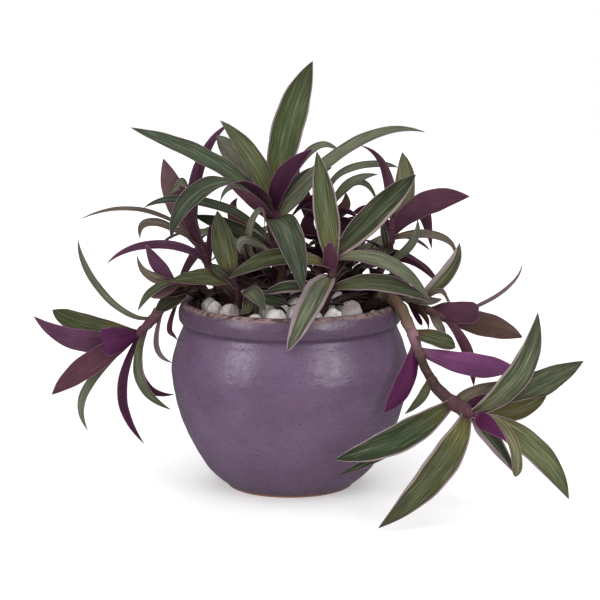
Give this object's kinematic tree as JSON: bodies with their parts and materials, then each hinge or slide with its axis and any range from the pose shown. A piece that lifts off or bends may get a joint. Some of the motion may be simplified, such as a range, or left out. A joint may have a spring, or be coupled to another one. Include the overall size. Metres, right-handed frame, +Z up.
{
  "type": "potted tradescantia",
  "caption": "Trailing house plant with striped lance-shaped leaves on jointed stems, in a round glazed pot filled with soil and topped with pale pebbles.",
  "frame": {"origin": "centre of the pot's flat underside, on the pot's axis", "axes": "+Z up along the pot's axis; -Y is the front, the side that the picture shows; +X is to the right seen from the front"},
  "size_m": [0.4751, 0.3282, 0.3788],
  "materials": {
    "pot_glaze": "satin",
    "soil": "matte",
    "leaf": "satin",
    "pebble": "matte"
  },
  "bodies": {
    "root": {"pot": "pot_glaze", "soil": "soil", "shoot_tall": "leaf", "shoot_front": "leaf", "shoot_left": "leaf", "shoot_low_left": "leaf", "shoot_left_rim": "leaf", "shoot_left_trail": "leaf", "shoot_right_back": "leaf", "shoot_mid_back": "leaf", "shoot_right_trail": "leaf", "shoot_right_rim": "leaf", "shoot_low_front": "leaf", "shoot_far_left": "leaf", "shoot_far_right": "leaf", "pebble_01": "pebble", "pebble_02": "pebble", "pebble_03": "pebble", "pebble_04": "pebble", "pebble_05": "pebble", "pebble_06": "pebble", "pebble_07": "pebble", "pebble_08": "pebble", "pebble_09": "pebble", "pebble_10": "pebble", "pebble_11": "pebble", "pebble_12": "pebble", "pebble_13": "pebble", "pebble_14": "pebble", "pebble_15": "pebble", "pebble_16": "pebble", "pebble_17": "pebble", "pebble_18": "pebble", "pebble_19": "pebble", "pebble_20": "pebble", "pebble_21": "pebble", "pebble_22": "pebble", "pebble_23": "pebble", "pebble_24": "pebble", "pebble_25": "pebble", "pebble_26": "pebble", "pebble_27": "pebble", "pebble_28": "pebble", "pebble_29": "pebble", "pebble_30": "pebble", "pebble_31": "pebble", "pebble_32": "pebble"}
  },
  "joints": []
}
